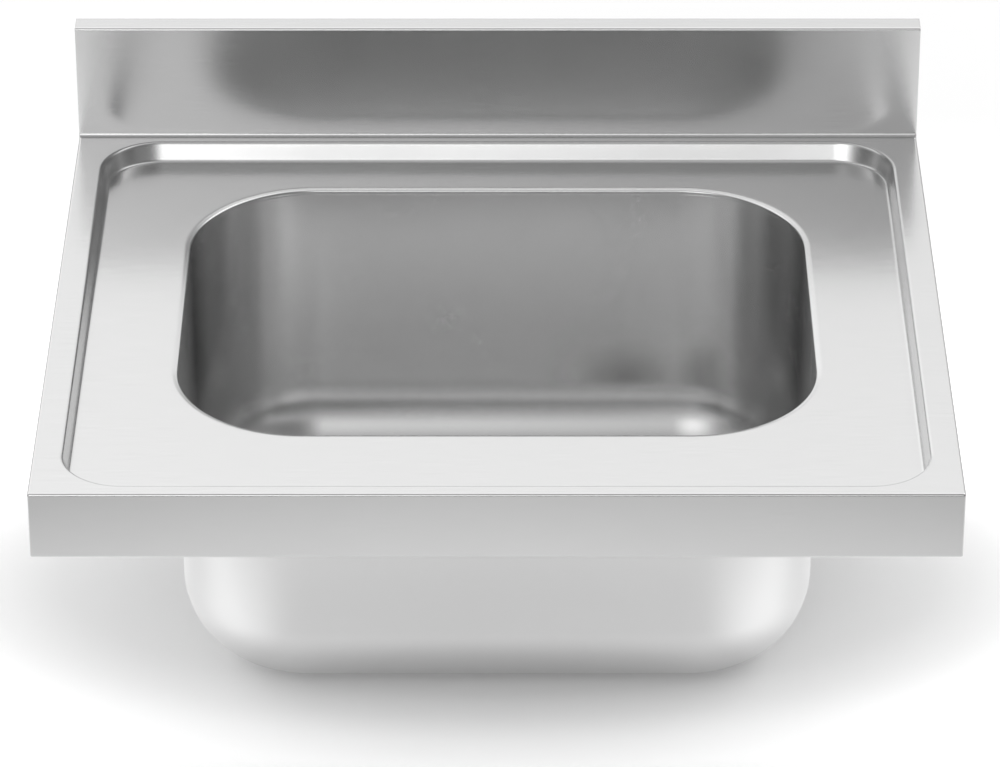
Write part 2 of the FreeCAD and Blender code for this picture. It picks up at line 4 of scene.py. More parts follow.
import bmesh
import bpy
import numpy as np
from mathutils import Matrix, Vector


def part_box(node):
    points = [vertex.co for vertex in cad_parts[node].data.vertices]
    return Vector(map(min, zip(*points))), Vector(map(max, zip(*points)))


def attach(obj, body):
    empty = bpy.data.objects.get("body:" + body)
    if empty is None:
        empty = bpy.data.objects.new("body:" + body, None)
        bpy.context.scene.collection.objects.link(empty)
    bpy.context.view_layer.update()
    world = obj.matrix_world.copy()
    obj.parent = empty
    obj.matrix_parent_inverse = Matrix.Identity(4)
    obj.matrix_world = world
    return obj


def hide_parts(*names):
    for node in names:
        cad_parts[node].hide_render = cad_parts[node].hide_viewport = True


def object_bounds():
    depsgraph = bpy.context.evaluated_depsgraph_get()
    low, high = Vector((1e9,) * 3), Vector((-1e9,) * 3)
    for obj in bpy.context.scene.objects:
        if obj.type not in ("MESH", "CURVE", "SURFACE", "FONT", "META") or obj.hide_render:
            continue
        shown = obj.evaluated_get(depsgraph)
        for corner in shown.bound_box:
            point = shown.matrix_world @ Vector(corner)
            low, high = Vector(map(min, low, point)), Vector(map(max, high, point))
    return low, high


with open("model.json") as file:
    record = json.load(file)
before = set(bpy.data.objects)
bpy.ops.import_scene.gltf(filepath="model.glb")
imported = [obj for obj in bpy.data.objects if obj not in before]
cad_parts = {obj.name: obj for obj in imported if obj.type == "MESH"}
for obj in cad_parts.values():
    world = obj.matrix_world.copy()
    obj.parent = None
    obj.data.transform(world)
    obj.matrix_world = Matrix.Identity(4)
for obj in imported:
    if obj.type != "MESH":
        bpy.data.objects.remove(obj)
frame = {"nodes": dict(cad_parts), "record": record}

# The sink top's looks: its folded top, drawn bowl, threaded waste and threaded stud as fine surfaces over
# their solids, finishes for every piece, and a studio whose floor carries painted light. Metres, Z up, the
# sink's front towards -Y.
MM = 0.001
ORIGIN = (0.0, 0.0, 0.0)
CAD_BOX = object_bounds()
TOP_LOW, TOP_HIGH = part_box("worktop_sheet")
BOWL_LOW, BOWL_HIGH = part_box("sink_bowl")
WASTE_LOW, WASTE_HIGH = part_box("strainer_body")
STUD_LOW, STUD_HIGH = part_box("bonding_stud")

# Folded top: its outer faces come from its solid, and its folds are written here
SHEET = 1.2 * MM
HALF_WIDTH = TOP_HIGH.x
FRONT_Y = TOP_LOW.y
BACK_Y = TOP_HIGH.y
LOW_Z = TOP_LOW.z
LEDGE_Z = TOP_HIGH.z
UPSTAND_HEIGHT = 100.0 * MM
UPSTAND_THICKNESS = 20.0 * MM
FOOT_BEND = 2.5 * MM
EDGE_BEND = 2.0 * MM
BACK_LIP = 20.0 * MM
RETURN_WIDTH = 15.0 * MM
DECK_Z = LEDGE_Z - UPSTAND_HEIGHT
UPSTAND_Y = BACK_Y - UPSTAND_THICKNESS
FLAT_BACK_Y = UPSTAND_Y - FOOT_BEND

# Sunken drainer, measured on the upper face of the sheet
SIDE_RIM = 20.2 * MM
FRONT_RIM = 11.0 * MM
REAR_RIM = 9.3 * MM
RECESS_DEPTH = 16.0 * MM
RECESS_ANGLE = math.radians(75.0)
RECESS_CORNER = 50.0 * MM
RIM_BEND = 3.0 * MM
RECESS_FOOT_BEND = 3.0 * MM
RECESS_Z = DECK_Z - RECESS_DEPTH

# Bowl: its mouth at the drainer's level, the sloping lip round it, its wall's lean, and the waste's sump
BOWL_SHEET = 1.0 * MM
BOWL_HALF_WIDTH = 249.0 * MM
BOWL_HALF_LENGTH = 199.0 * MM
BOWL_CORNER = 100.0 * MM
BOWL_DRAFT = math.radians(0.2)
BOWL_FLOOR_BEND = 70.0 * MM
LIP_WIDTH = 4.51 * MM
LIP_DROP = 1.354 * MM
LIP_BEND = 7.2 * MM
COLLAR_BEND = 1.7 * MM
COLLAR_STRAIGHT = 2.0 * MM
SUMP_DEPTH = 3.5 * MM
SUMP_RADIUS = 58.0 * MM
SUMP_BEND = 2.0 * MM
SUMP_SLOPE = math.radians(45.0)
DRAIN_RADIUS = 45.0 * MM
BOWL_Y = (BOWL_LOW.y + BOWL_HIGH.y) / 2.0
DRAIN_X = (WASTE_LOW.x + WASTE_HIGH.x) / 2.0
DRAIN_Y = (WASTE_LOW.y + WASTE_HIGH.y) / 2.0
SUMP_Z = BOWL_LOW.z + BOWL_SHEET
BOWL_FLOOR_Z = SUMP_Z + SUMP_DEPTH

# Waste body and bonding stud: a pressed cup with a threaded outlet, and a threaded stud with a collar
WASTE_SHEET = 1.2 * MM
CUP_RADIUS = 43.0 * MM
CUP_DEPTH = 42.0 * MM
CUP_BEND = 2.0 * MM
OUTLET_RADIUS = 23.9 * MM
OUTLET_WALL = 3.0 * MM
OUTLET_PITCH = 2.309 * MM
OUTLET_GROOVE = 1.3 * MM
STUD_RADIUS = 3.0 * MM
STUD_COLLAR = 1.0 * MM
STUD_PITCH = 1.0 * MM
STUD_GROOVE = 0.55 * MM
THREAD_END = 1.0 * MM
SMALL_ROUND = 0.3 * MM

# Fineness of the surfaces, and the strip beside each bend that keeps flat faces flat. Loops on a flat face
# and points on a long run crowd at its ends
CORNER_STEPS = 32
SIDE_STEPS = 24
BEND_STEPS = 8
BOWL_BEND_STEPS = 32
THREAD_STEPS = 8
FACE_SHARES = np.array([0.006, 0.03, 0.1, 0.25, 0.5, 0.75, 0.9, 0.97, 0.994])
RUN_SHARES = (0.25, 0.5, 0.75)
STRIP = 0.4 * MM
SHORT_RUN = 4.0 * STRIP
SEAM_TOLERANCE = 0.001 * MM

# Camera: a long lens in front of the sink, looking down on it by a pitch in degrees. Pixels are those of
# the 1000 x 767 picture
PICTURE_WIDTH = 1000.0
FOCAL_PIXELS = 5465.5
AXIS_PIXEL = 508.18
CAMERA_PLACE = (0.00868, -3.7848, 2.1582)
CAMERA_PITCH = 29.953
SENSOR = 36.0

# Studio floor: at the bowl's underside, with a well for the waste. Its colour is a painted pool of light:
# pale in a round pool, which ends nearer in front, and painted shade, grey, beyond. Its painted light, a
# glow towards white, is given by stops on the way out from the bowl's middle to an oval: little under the
# bowl, which leaves the cast shadow dark, most just outside it, a painted ring of light that narrows the
# shadow, and little far away. Reflections also see a painted glow on the floor beside the bowl, a painted
# reflection given by stops on the way out from its middle across, and along from a line near its rear
FLOOR_Z = BOWL_LOW.z
FLOOR_REACH = 30.0
FLOOR_TONE = 0.92
PAINTED_FAR_SHADE = 0.32
PAINTED_POOL_Y = 0.35
PAINTED_POOL_EDGE = (1.01, 1.31)
WELL_GAP = 8.0 * MM
OVAL = (1.78, 0.86)
PAINTED_LIGHT_STOPS = ((0.15, 0.06), (0.2, 0.1), (0.24, 0.225), (0.28, 0.41), (0.32, 0.51), (0.44, 0.32),
              (0.58, 0.26), (0.78, 0.15), (1.0, 0.07))
PAINTED_GLOW_Y = 0.2
PAINTED_GLOW_ACROSS = ((0.2, 0.0), (0.28, 0.42), (0.34, 0.4), (0.44, 0.12), (0.6, 0.0))
PAINTED_GLOW_ALONG = ((0.35, 1.0), (0.6, 0.0))

# Studio light: an even dome and soft cards in it. A card has its azimuth from the rear towards the right
# and its elevation, both in degrees, its half-width and its strength
DOME = 0.2
CARDS = {
    "rear_left": (316.0, 37.0, 0.71, 1.59),
    "rear_right": (52.0, 45.0, 0.54, 1.94),
    "front_low": (193.0, 0.0, 0.3, 3.3),
    "front_middle": (198.0, 35.0, 0.3, 1.5),
}

# Finishes: the span that a noise value fills, the share of a sideways face from which brush lines stand
# upright, and the axes that a distance counts
NOISE_SPAN = (0.3, 0.7)
SIDE_FACE = 0.7
X_ONLY = (1.0, 0.0, 0.0)
Y_ONLY = (0.0, 1.0, 0.0)
IN_PLAN = (1.0, 1.0, 0.0)
WHITE = (1.0, 1.0, 1.0, 1.0)


def side_shares():
    """Shares from -1 to 1 along a straight side: the cosine of even angles, which crowds its ends."""
    return -np.cos(np.linspace(0.0, np.pi, SIDE_STEPS + 1))


def round_path():
    """Path round a rounded rectangle, from its rear left corner by its left, front, right and rear sides.

    Each point has the signs of its corner axis (across, along), which run from -1 to 1 on a straight
    side, and the turn of its outward direction about +Z. The first three sides come first, unbroken.
    """
    run = side_shares()
    ones = np.ones_like(run)
    quarter = np.linspace(0.0, np.pi / 2.0, CORNER_STEPS + 1)[1:-1]
    still = np.ones_like(quarter)
    sides = [(-ones, -run), (run, -ones), (ones, run), (-run, ones)]
    corners = [(-still, -still), (still, -still), (still, still), (-still, still)]
    across, along, turn = [], [], []
    for i in range(4):
        facing = np.pi * (1.0 + 0.5 * i)
        across += [sides[i][0], corners[i][0]]
        along += [sides[i][1], corners[i][1]]
        turn += [np.full_like(run, facing), facing + quarter]
    return np.concatenate(across), np.concatenate(along), np.concatenate(turn)


ACROSS, ALONG, TURN = round_path()
SIDE_POINTS = SIDE_STEPS + 1
CORNER_POINTS = CORNER_STEPS - 1
APRON_POINTS = 3 * SIDE_POINTS + 2 * CORNER_POINTS


def straight_run(start, end):
    """Points from start to end: both ends, a point one strip from each, and the quarters of a long run."""
    length = np.linalg.norm(end - start)
    if length < SEAM_TOLERANCE:
        return start[None, :]
    if length < SHORT_RUN:
        shares = [0.0, 1.0]
    else:
        shares = [0.0, STRIP / length, *RUN_SHARES, 1.0 - STRIP / length, 1.0]
    return start + np.outer(shares, end - start)


def bent_line(corners, radii, steps=BEND_STEPS):
    """Bent line of a half section, as rows of (distance, height).

    Each inner corner becomes the arc that touches both its runs: the arc starts one radius times the
    tangent of half the turn before the corner, its centre lies one radius to the inner side, and its
    points turn evenly about that centre.
    """
    corners = np.asarray(corners, float)
    legs = np.diff(corners, axis=0)
    ways = legs / np.linalg.norm(legs, axis=1)[:, None]
    heads = np.arctan2(ways[:, 1], ways[:, 0])
    turns = (np.diff(heads) + np.pi) % (2.0 * np.pi) - np.pi
    cuts = np.concatenate([[0.0], np.asarray(radii) * np.tan(np.abs(turns) / 2.0), [0.0]])
    pieces = []
    for i, way in enumerate(ways):
        end = corners[i + 1] - way * cuts[i + 1]
        pieces.append(straight_run(corners[i] + way * cuts[i], end))
        if i < len(turns):
            inward = np.sign(turns[i]) * np.array([-way[1], way[0]])
            centre = end + inward * radii[i]
            sweep = np.linspace(0.0, turns[i], steps + 1)[1:-1]
            spoke = -inward * radii[i]
            arc = np.outer(np.cos(sweep), spoke) + np.outer(np.sin(sweep), [-spoke[1], spoke[0]])
            pieces.append(centre + arc)
    return np.vstack(pieces)


def rows_round(runs, centre, line):
    """Loop rows that carry a half section round a path: runs across and along, centre, radius, height."""
    rows = np.empty((len(line), 6))
    rows[:, :2] = runs
    rows[:, 2:4] = centre
    rows[:, 4:] = line
    return rows


def rows_between(first, last):
    """Loop rows on a flat face, mixed from its inner and its outer loop by shares."""
    return first + np.outer(FACE_SHARES, last - first)


def loops(rows):
    """Points of loop rows: the corner axis's signs times the runs, plus the radius along the way out."""
    run_x, run_y, centre_x, centre_y, radius, height = (column[:, None] for column in rows.T)
    x = centre_x + run_x * ACROSS + radius * np.cos(TURN)
    y = centre_y + run_y * ALONG + radius * np.sin(TURN)
    return np.stack([x, y, np.broadcast_to(height, x.shape)], axis=-1)


def grid_faces(grid, first, closed):
    """Quads between a grid's rows and columns, with its last column joined to its first if it closes."""
    rows, columns = grid.shape[:2]
    index = first + np.arange(rows * columns).reshape(rows, columns)
    if closed:
        index = np.hstack([index, index[:, :1]])
    quads = [index[:-1, :-1], index[1:, :-1], index[1:, 1:], index[:-1, 1:]]
    return np.stack(quads, axis=-1).reshape(-1, 4)


def joined(patches):
    """Points and quads of several (grid, closed) patches as one set."""
    points, faces, count = [], [], 0
    for grid, closed in patches:
        faces.append(grid_faces(grid, count, closed))
        points.append(grid.reshape(-1, 3))
        count += grid.shape[0] * grid.shape[1]
    return np.vstack(points), np.vstack(faces)


def wall_point(below):
    """Point on the inner face of the bowl's wall, some way down its slope from the mouth."""
    radius = BOWL_CORNER - below * math.sin(BOWL_DRAFT)
    return np.array([radius, RECESS_Z - below * math.cos(BOWL_DRAFT)])


def bowl_rows(line):
    """Loop rows that carry a half section round the bowl."""
    runs = (BOWL_HALF_WIDTH - BOWL_CORNER, BOWL_HALF_LENGTH - BOWL_CORNER)
    return rows_round(runs, (0.0, BOWL_Y), line)


LIP_TURN = math.atan2(LIP_DROP, LIP_WIDTH)
COLLAR_TURN = math.pi / 2.0 - BOWL_DRAFT - LIP_TURN
SEAM = wall_point(LIP_DROP + COLLAR_BEND * math.tan(COLLAR_TURN / 2.0) + COLLAR_STRAIGHT)


def collar_rows():
    """The bowl's mouth: up the wall from the weld, over its edge and up the lip to the drainer's floor."""
    lip = BOWL_CORNER + LIP_WIDTH
    outer = lip + LIP_BEND * math.tan(LIP_TURN / 2.0)
    corners = [SEAM, wall_point(LIP_DROP), (lip, RECESS_Z), (outer, RECESS_Z)]
    return bowl_rows(bent_line(corners, [COLLAR_BEND, LIP_BEND]))


def recess_rows():
    """The drainer's wall: a bend up from its floor, a steep flat, and a bend over on to the deck."""
    half_turn = math.tan(RECESS_ANGLE / 2.0)
    rim = RECESS_CORNER - RIM_BEND * half_turn
    foot = rim - RECESS_DEPTH / math.tan(RECESS_ANGLE)
    start = foot - RECESS_FOOT_BEND * half_turn
    corners = [(start, RECESS_Z), (foot, RECESS_Z), (rim, DECK_Z), (RECESS_CORNER, DECK_Z)]
    line = bent_line(corners, [RECESS_FOOT_BEND, RIM_BEND])
    front = FRONT_Y + FRONT_RIM + RECESS_CORNER
    rear = UPSTAND_Y - REAR_RIM - RECESS_CORNER
    runs = (HALF_WIDTH - SIDE_RIM - RECESS_CORNER, (rear - front) / 2.0)
    return rows_round(runs, (0.0, (rear + front) / 2.0), line)


def flat_loop(inset, height):
    """Sharp-cornered loop one inset inside the folded edges, open to the upstand's foot at the rear."""
    front = FRONT_Y + inset
    run_y = (FLAT_BACK_Y - front) / 2.0
    return np.array([HALF_WIDTH - inset, run_y, 0.0, (FLAT_BACK_Y + front) / 2.0, 0.0, height])


def apron_grid():
    """The aprons: over the edge bend, down, round the lower bend and in along the return.

    The three sides' columns come first on the path. Three more columns at each rear end fill the edge
    bend out to the side's plane and carry the side back behind the upstand's face.
    """
    base = flat_loop(EDGE_BEND, DECK_Z)
    corners = [(0.0, DECK_Z), (EDGE_BEND, DECK_Z), (EDGE_BEND, LOW_Z), (0.0, LOW_Z)]
    line = bent_line(corners, [EDGE_BEND, EDGE_BEND])
    hem = flat_loop(RETURN_WIDTH, LOW_Z)
    fold = rows_round(base[:2], base[2:4], line)
    rows = np.vstack([fold, rows_between(fold[-1], hem), hem])
    grid = loops(rows)[:, :APRON_POINTS]
    upper = np.arange(len(rows)) <= BEND_STEPS
    ends = []
    for side, column in ((-1.0, grid[:, :1]), (1.0, grid[:, -1:])):
        reach = np.array([HALF_WIDTH - STRIP, HALF_WIDTH, HALF_WIDTH])
        end = np.repeat(column, len(reach), axis=1)
        end[upper, :, 0] = side * np.maximum(np.abs(end[upper, :, 0]), reach)
        end[:, -1, 1] = UPSTAND_Y + SHEET
        ends.append(end)
    return np.hstack([ends[0][:, ::-1], grid, ends[1]])


def upstand_grid():
    """The upstand: up from the deck over its foot bend, back along the ledge and down the rear lip."""
    corners = [(FLAT_BACK_Y, DECK_Z), (UPSTAND_Y, DECK_Z), (UPSTAND_Y, LEDGE_Z), (BACK_Y, LEDGE_Z),
               (BACK_Y, LEDGE_Z - BACK_LIP)]
    line = bent_line(corners, [FOOT_BEND, EDGE_BEND, EDGE_BEND])
    inner = side_shares() * (HALF_WIDTH - EDGE_BEND)
    end = np.array([HALF_WIDTH - STRIP, HALF_WIDTH])
    columns = np.concatenate([-end[::-1], inner, end])[::-1]
    x, y = np.meshgrid(columns, line[:, 0])
    z = np.meshgrid(columns, line[:, 1])[1]
    return np.stack([x, y, z], axis=-1)


def folded_top():
    """Upper face of the whole folded top, from the bowl's weld outwards."""
    collar = collar_rows()
    recess = recess_rows()
    edge = flat_loop(EDGE_BEND, DECK_Z)
    rows = [collar, rows_between(collar[-1], recess[0]), recess, rows_between(recess[-1], edge), edge]
    return joined([(loops(np.vstack(rows)), True), (apron_grid(), False), (upstand_grid(), False)])


def drawn_bowl():
    """Inner face of the bowl, from the drain's edge over the sump and the floor and up to the weld."""
    half_turn = math.tan(SUMP_SLOPE / 2.0)
    foot = SUMP_RADIUS + SUMP_BEND * half_turn
    shoulder = foot + SUMP_DEPTH / math.tan(SUMP_SLOPE)
    shoulder_bend = SUMP_BEND + BOWL_SHEET
    sump = [(DRAIN_RADIUS, SUMP_Z), (foot, SUMP_Z), (shoulder, BOWL_FLOOR_Z),
            (shoulder + shoulder_bend * half_turn, BOWL_FLOOR_Z)]
    sump_line = bent_line(sump, [SUMP_BEND, shoulder_bend])
    sump_rows = rows_round((0.0, 0.0), (DRAIN_X, DRAIN_Y), sump_line)
    corner = wall_point((RECESS_Z - BOWL_FLOOR_Z) / math.cos(BOWL_DRAFT))
    floor_end = corner[0] - BOWL_FLOOR_BEND * math.tan((math.pi / 2.0 - BOWL_DRAFT) / 2.0)
    wall_corners = [(floor_end, BOWL_FLOOR_Z), corner, SEAM]
    wall = bowl_rows(bent_line(wall_corners, [BOWL_FLOOR_BEND], BOWL_BEND_STEPS))
    rows = [sump_rows, rows_between(sump_rows[-1], wall[0]), wall]
    return joined([(loops(np.vstack(rows)), True)])


def threaded(before, after, pitch, groove, centre):
    """Turned piece with a screw thread between two bent lines of its half section.

    A point of the thread moves in by the groove's depth times a triangle wave of its height in pitches
    less its turn, so the groove climbs one pitch a turn. It fades over one pitch at each end.
    """
    high, low = before[-1], after[0]
    count = round(THREAD_STEPS * (high[1] - low[1]) / pitch)
    run = high + np.outer(np.linspace(0.0, 1.0, count + 1)[1:-1], low - high)
    room = np.minimum(high[1] - run[:, 1], run[:, 1] - low[1])
    fade = np.concatenate([np.zeros(len(before)), np.clip(room / pitch, 0.0, 1.0), np.zeros(len(after))])
    grid = loops(rows_round((0.0, 0.0), centre, np.vstack([before, run, after])))
    climb = (grid[..., 2] / pitch - TURN / (2.0 * np.pi)) % 1.0
    inward = groove * fade[:, None] * (1.0 - np.abs(2.0 * climb - 1.0))
    grid[..., 0] -= inward * np.cos(TURN)
    grid[..., 1] -= inward * np.sin(TURN)
    return joined([(grid, True)])


def threaded_waste():
    """Waste body: over the flange's edge, down outside the cup and its outlet, and back up inside."""
    top = WASTE_HIGH.z
    under = top - WASTE_SHEET
    cup_floor = top - CUP_DEPTH
    cup_under = cup_floor - WASTE_SHEET
    low = WASTE_LOW.z
    flange = WASTE_HIGH.x - DRAIN_X
    inner = CUP_RADIUS - WASTE_SHEET
    bore = OUTLET_RADIUS - OUTLET_WALL
    wide_bend = CUP_BEND + WASTE_SHEET
    start = ((flange + CUP_RADIUS) / 2.0, top)
    outside = [start, (flange, top), (flange, under), (CUP_RADIUS, under), (CUP_RADIUS, cup_under),
               (OUTLET_RADIUS, cup_under), (OUTLET_RADIUS, cup_under - THREAD_END)]
    inside = [(OUTLET_RADIUS, low + THREAD_END), (OUTLET_RADIUS, low), (bore, low), (bore, cup_floor),
              (inner, cup_floor), (inner, top), start]
    before = bent_line(outside, [SMALL_ROUND, SMALL_ROUND, CUP_BEND, wide_bend, SMALL_ROUND])
    after = bent_line(inside, [SMALL_ROUND, SMALL_ROUND, SMALL_ROUND, CUP_BEND, wide_bend])
    return threaded(before, after, OUTLET_PITCH, OUTLET_GROOVE, (DRAIN_X, DRAIN_Y))


def threaded_stud():
    """Bonding stud: from its axis over the collar, down its thread and round its end to the axis."""
    middle = (STUD_LOW + STUD_HIGH) / 2.0
    top = STUD_HIGH.z
    under = top - STUD_COLLAR
    low = STUD_LOW.z
    collar = STUD_HIGH.x - middle.x
    outside = [(0.0, top), (collar, top), (collar, under), (STUD_RADIUS, under),
               (STUD_RADIUS, under - THREAD_END)]
    end = [(STUD_RADIUS, low + THREAD_END), (STUD_RADIUS, low), (0.0, low)]
    before = bent_line(outside, [SMALL_ROUND] * 3)
    after = bent_line(end, [SMALL_ROUND])
    return threaded(before, after, STUD_PITCH, STUD_GROOVE, (middle.x, middle.y))


def add_surface(name, surface):
    """Object of a surface's points and quads, with its seams and poles merged."""
    points, faces = surface
    mesh = bpy.data.meshes.new(name)
    mesh.from_pydata(points.tolist(), [], faces.tolist())
    work = bmesh.new()
    work.from_mesh(mesh)
    bmesh.ops.remove_doubles(work, verts=work.verts, dist=SEAM_TOLERANCE)
    work.to_mesh(mesh)
    work.free()
    piece = bpy.data.objects.new(name, mesh)
    bpy.context.scene.collection.objects.link(piece)
    return piece


def add_piece(name, surface, node, finish):
    """Smooth piece that stands for a node of the sink top."""
    piece = add_surface(name, surface)
    piece.data.shade_smooth()
    piece.data.materials.append(finish)
    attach(piece, "sink_top")
    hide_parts(node)
    return piece


def add_thickness(piece, thickness):
    """Thickness of a sheet, on the far side of its surface."""
    wall = piece.modifiers.new("sheet", "SOLIDIFY")
    wall.thickness = thickness
    wall.offset = -1.0


def add_camera():
    """Camera at the picture's viewing angle, level from side to side."""
    data = bpy.data.cameras.new("camera")
    data.sensor_width = SENSOR
    data.lens = SENSOR * FOCAL_PIXELS / PICTURE_WIDTH
    data.shift_x = 0.5 - AXIS_PIXEL / PICTURE_WIDTH
    camera = bpy.data.objects.new("camera", data)
    camera.location = CAMERA_PLACE
    camera.rotation_euler = (math.radians(90.0 - CAMERA_PITCH), 0.0, 0.0)
    bpy.context.scene.collection.objects.link(camera)
    bpy.context.scene.camera = camera


def start_finish(name):
    """New principled material: itself, its node tree, its shader and its Object coordinates."""
    material = bpy.data.materials.new(name)
    material.use_nodes = True
    tree = material.node_tree
    place = tree.nodes.new("ShaderNodeTexCoord").outputs["Object"]
    return material, tree, tree.nodes["Principled BSDF"], place


def stretched(tree, place, scale, centre=ORIGIN):
    """Coordinates measured from a centre and multiplied by a scale on each axis."""
    node = tree.nodes.new("ShaderNodeMapping")
    node.inputs["Scale"].default_value = scale
    node.inputs["Location"].default_value = [-c * s for c, s in zip(centre, scale)]
    tree.links.new(place, node.inputs["Vector"])
    return node.outputs["Vector"]


def distance(tree, place, scale, centre=ORIGIN):
    """Distance from a centre, with each axis multiplied by a scale."""
    node = tree.nodes.new("ShaderNodeVectorMath")
    node.operation = "LENGTH"
    tree.links.new(stretched(tree, place, scale, centre), node.inputs[0])
    return node.outputs["Value"]


def brushed(tree, place, fine, long):
    """Coordinates for brush lines that run across the sheet and fold down with its sides.

    Faces that look to the side take their lines upright, and all others take them along X.
    """
    normal = tree.nodes.new("ShaderNodeNewGeometry").outputs["Normal"]
    sideways = tree.nodes.new("ShaderNodeMath")
    sideways.operation = "GREATER_THAN"
    sideways.inputs[1].default_value = SIDE_FACE
    tree.links.new(distance(tree, normal, X_ONLY), sideways.inputs[0])
    choice = tree.nodes.new("ShaderNodeMix")
    choice.data_type = "VECTOR"
    tree.links.new(sideways.outputs["Value"], choice.inputs["Factor"])
    tree.links.new(stretched(tree, place, (long, fine, fine)), choice.inputs[4])
    tree.links.new(stretched(tree, place, (fine, fine, long)), choice.inputs[5])
    return choice.outputs[1]


def turned(tree, place, centre):
    """Coordinates of a turned piece: the distance from its upright axis, and its height."""
    reach = distance(tree, place, IN_PLAN, centre)
    split = tree.nodes.new("ShaderNodeSeparateXYZ")
    tree.links.new(place, split.inputs["Vector"])
    rings = tree.nodes.new("ShaderNodeCombineXYZ")
    tree.links.new(reach, rings.inputs["X"])
    tree.links.new(split.outputs["Z"], rings.inputs["Z"])
    return rings.outputs["Vector"]


def grain(tree, place, scale, detail=2.0):
    """Noise of a number of grains a metre, a value round one half."""
    node = tree.nodes.new("ShaderNodeTexNoise")
    node.inputs["Scale"].default_value = scale
    node.inputs["Detail"].default_value = detail
    tree.links.new(place, node.inputs["Vector"])
    return node.outputs["Fac"]


def pebbles(tree, place, scale):
    """Rounded cells of a number a metre, each zero in its middle and rising to its edge."""
    node = tree.nodes.new("ShaderNodeTexVoronoi")
    node.feature = "SMOOTH_F1"
    node.inputs["Scale"].default_value = scale
    tree.links.new(place, node.inputs["Vector"])
    return node.outputs["Distance"]


def spread(tree, value, low, high, span=NOISE_SPAN):
    """A noise value, or one of another span, stretched from low to high."""
    node = tree.nodes.new("ShaderNodeMapRange")
    node.inputs["From Min"].default_value = span[0]
    node.inputs["From Max"].default_value = span[1]
    node.inputs["To Min"].default_value = low
    node.inputs["To Max"].default_value = high
    tree.links.new(value, node.inputs["Value"])
    return node.outputs["Result"]


def combined(tree, operation, first, second):
    """Sum or product of two values, as the operation says."""
    node = tree.nodes.new("ShaderNodeMath")
    node.operation = operation
    tree.links.new(first, node.inputs[0])
    tree.links.new(second, node.inputs[1])
    return node.outputs["Value"]


def grey(level):
    """Neutral tone."""
    return (level, level, level)


def ramp(tree, value, stops):
    """Colour that a value picks between stops, each a position and a colour."""
    node = tree.nodes.new("ShaderNodeValToRGB")
    elements = node.color_ramp.elements
    for position, colour in stops[1:-1]:
        elements.new(position)
    for element, (position, colour) in zip(elements, stops):
        element.position = position
        element.color = (*colour, 1.0)
    tree.links.new(value, node.inputs["Fac"])
    return node.outputs["Color"]


def tones(tree, value, dark, light):
    """Colour that a noise value picks between a dark and a light tone."""
    return ramp(tree, value, [(NOISE_SPAN[0], dark), (NOISE_SPAN[1], light)])


def levels(tree, value, stops):
    """Neutral tone that a value picks between stops, each a position and a level."""
    return ramp(tree, value, [(position, grey(level)) for position, level in stops])


def relief(tree, shader, value, depth):
    """Fine relief in the surface, as deep as given in metres."""
    node = tree.nodes.new("ShaderNodeBump")
    node.inputs["Strength"].default_value = 1.0
    node.inputs["Distance"].default_value = depth
    tree.links.new(value, node.inputs["Height"])
    tree.links.new(node.outputs["Normal"], shader.inputs["Normal"])


def dress(tree, shader, tone, fine, slow, swing, rough, depth, metallic=0.0):
    """Tone, roughness and relief of a finish.

    The slow pattern spreads the roughness between two values, the fine one swings it about them and
    gives the relief.
    """
    gloss = combined(tree, "ADD", spread(tree, fine, -swing, swing), spread(tree, slow, *rough))
    tree.links.new(tone, shader.inputs["Base Color"])
    tree.links.new(gloss, shader.inputs["Roughness"])
    shader.inputs["Metallic"].default_value = metallic
    relief(tree, shader, fine, depth)


def satin_steel():
    """Satin sheet: fine brush lines in its tone, gloss and relief, over faint cloudy patches."""
    material, tree, shader, place = start_finish("satin_steel")
    lines = grain(tree, brushed(tree, place, fine=2600.0, long=30.0), 1.0)
    clouds = grain(tree, place, 9.0, detail=3.0)
    tone = tones(tree, lines, grey(0.61), grey(0.65))
    dress(tree, shader, tone, lines, clouds, swing=0.02, rough=(0.22, 0.25), depth=0.004 * MM,
          metallic=1.0)
    return material


def drawn_steel():
    """Deep-drawn bowl: matt, with an even fine grain and faint patches left by the die."""
    material, tree, shader, place = start_finish("drawn_steel")
    fine = grain(tree, place, 2200.0)
    patches = grain(tree, place, 14.0, detail=3.0)
    tone = tones(tree, fine, grey(0.61), grey(0.65))
    dress(tree, shader, tone, fine, patches, swing=0.015, rough=(0.24, 0.265), depth=0.004 * MM,
          metallic=1.0)
    return material


def folded_steel():
    """Mill-finish sheet: dull and mottled, with the rolling's faint lengthwise streaks."""
    material, tree, shader, place = start_finish("folded_steel")
    streaks = grain(tree, stretched(tree, place, (12.0, 900.0, 900.0)), 1.0, detail=3.0)
    mottle = grain(tree, place, 120.0, detail=4.0)
    tone = tones(tree, mottle, grey(0.5), (0.56, 0.565, 0.57))
    dress(tree, shader, tone, streaks, mottle, swing=0.03, rough=(0.36, 0.44), depth=0.006 * MM,
          metallic=1.0)
    return material


def turned_metal(name, centre, dark, light, rough):
    """Turned metal: rings round its axis in its tone, gloss and relief, and light rubbing marks."""
    material, tree, shader, place = start_finish(name)
    rings = grain(tree, turned(tree, place, centre), 2400.0, detail=3.0)
    rubs = grain(tree, stretched(tree, place, (300.0, 900.0, 500.0)), 1.0, detail=4.0)
    tone = tones(tree, rings, dark, light)
    dress(tree, shader, tone, rings, rubs, swing=0.03, rough=rough, depth=0.005 * MM,
          metallic=1.0)
    return material


def deadening_pad():
    """Bitumen pad: black, matt and pebbled by its press, with dusty patches."""
    material, tree, shader, place = start_finish("deadening_pad")
    cells = pebbles(tree, place, 260.0)
    dust = grain(tree, place, 45.0, detail=5.0)
    tone = tones(tree, dust, (0.03, 0.03, 0.033), (0.065, 0.064, 0.062))
    tree.links.new(tone, shader.inputs["Base Color"])
    tree.links.new(spread(tree, dust, 0.68, 0.86), shader.inputs["Roughness"])
    relief(tree, shader, cells, -0.5 * MM)
    return material


